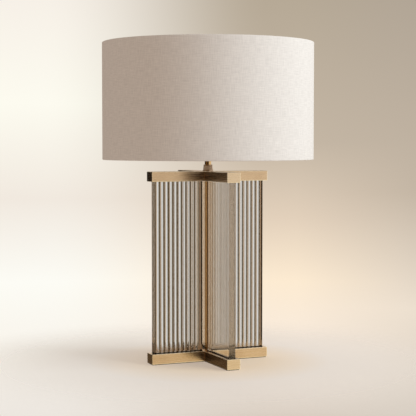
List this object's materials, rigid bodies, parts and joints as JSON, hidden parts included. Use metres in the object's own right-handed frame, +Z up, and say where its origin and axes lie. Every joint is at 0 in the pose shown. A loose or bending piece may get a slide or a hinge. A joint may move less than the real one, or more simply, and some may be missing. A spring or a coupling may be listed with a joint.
{
  "type": "table lamp",
  "caption": "Column table lamp: reeded cast-glass fins set crosswise between brass crosses round a brass tube, under a linen drum shade.",
  "frame": {"origin": "centre of the base's felt underside, on the table and on the lamp's axis", "axes": "+Z up the centre tube; the arms of both crosses lie along X and Y; +Y is the arm with the flex inlet, at the back"},
  "size_m": [0.45, 0.45, 0.68],
  "materials": {
    "satin_brass": "satin, lightly aged",
    "polished_brass": "polished",
    "holder_brass": "bright",
    "steel": "zinc plated",
    "solder": "satin",
    "bulb_cap_metal": "satin",
    "rubber": "matt",
    "felt": "felt",
    "black_plastic": "moulded thermoset",
    "porcelain": "glazed",
    "black_glaze": "glossy",
    "bulb_glass": "clear",
    "filament": "coated",
    "frame_enamel": "white enamel",
    "lining": "translucent sheet",
    "linen": "slub linen",
    "cast_glass": "clear, fire polished"
  },
  "bodies": {
    "column": {"base_felt": "felt", "base_cross": "satin_brass", "cable_bush": "rubber", "base_washer": "steel", "base_nut": "steel", "fin_cushions_lower": "rubber", "fin_cushions_upper": "rubber", "top_cross": "satin_brass", "centre_tube": "polished_brass", "tie_rod": "steel", "neck_collar": "satin_brass", "stem_tube": "polished_brass", "holder_cap": "holder_brass", "cap_grub_screw": "steel", "holder_core": "porcelain", "terminal_screws": "steel", "screw_shell": "holder_brass", "centre_contact": "holder_brass", "holder_skirt": "black_plastic", "glass_fin_left": "cast_glass", "glass_fin_right": "cast_glass", "glass_fin_front": "cast_glass", "glass_fin_back": "cast_glass"},
    "switch_bar": {"switch_bar": "black_plastic"},
    "shade": {"shade_linen": "linen", "shade_liner": "lining", "shade_upper_ring": "frame_enamel", "shade_lower_ring": "frame_enamel", "shade_spider": "frame_enamel"},
    "shade_ring": {"shade_ring": "black_plastic"},
    "bulb_tip": {"bulb_contact": "solder"},
    "bulb": {"bulb_insulator": "black_glaze", "bulb_cap": "bulb_cap_metal", "bulb_glass": "bulb_glass", "bulb_stem": "bulb_glass", "bulb_leads": "steel", "bulb_filaments": "filament"}
  },
  "joints": [
    {"name": "shade_swivel", "type": "hinge", "parent": "column", "child": "shade", "pos_m": [0, 0, 0.4853], "axis": [0, 0, 1], "continuous": true},
    {"name": "shade_ring_turn", "type": "hinge", "parent": "column", "child": "shade_ring", "pos_m": [0, 0, 0.4916], "axis": [0, 0, 1], "range_deg": [0, 1080]},
    {"name": "bulb_climb", "type": "slide", "parent": "column", "child": "bulb_tip", "axis": [0, 0, 1], "range_m": [0, 0.01089]},
    {"name": "bulb_turn", "type": "hinge", "parent": "bulb_tip", "child": "bulb", "pos_m": [0, 0, 0.4973], "axis": [0, 0, 1], "range_deg": [0, 1080]},
    {"name": "switch_push", "type": "slide", "parent": "column", "child": "switch_bar", "axis": [-1, 0, 0], "range_m": [0, 0.006]}
  ],
  "couplings": [
    {"joint": "bulb_turn", "follows": "bulb_climb", "rad_per_m": 1731.4}
  ]
}
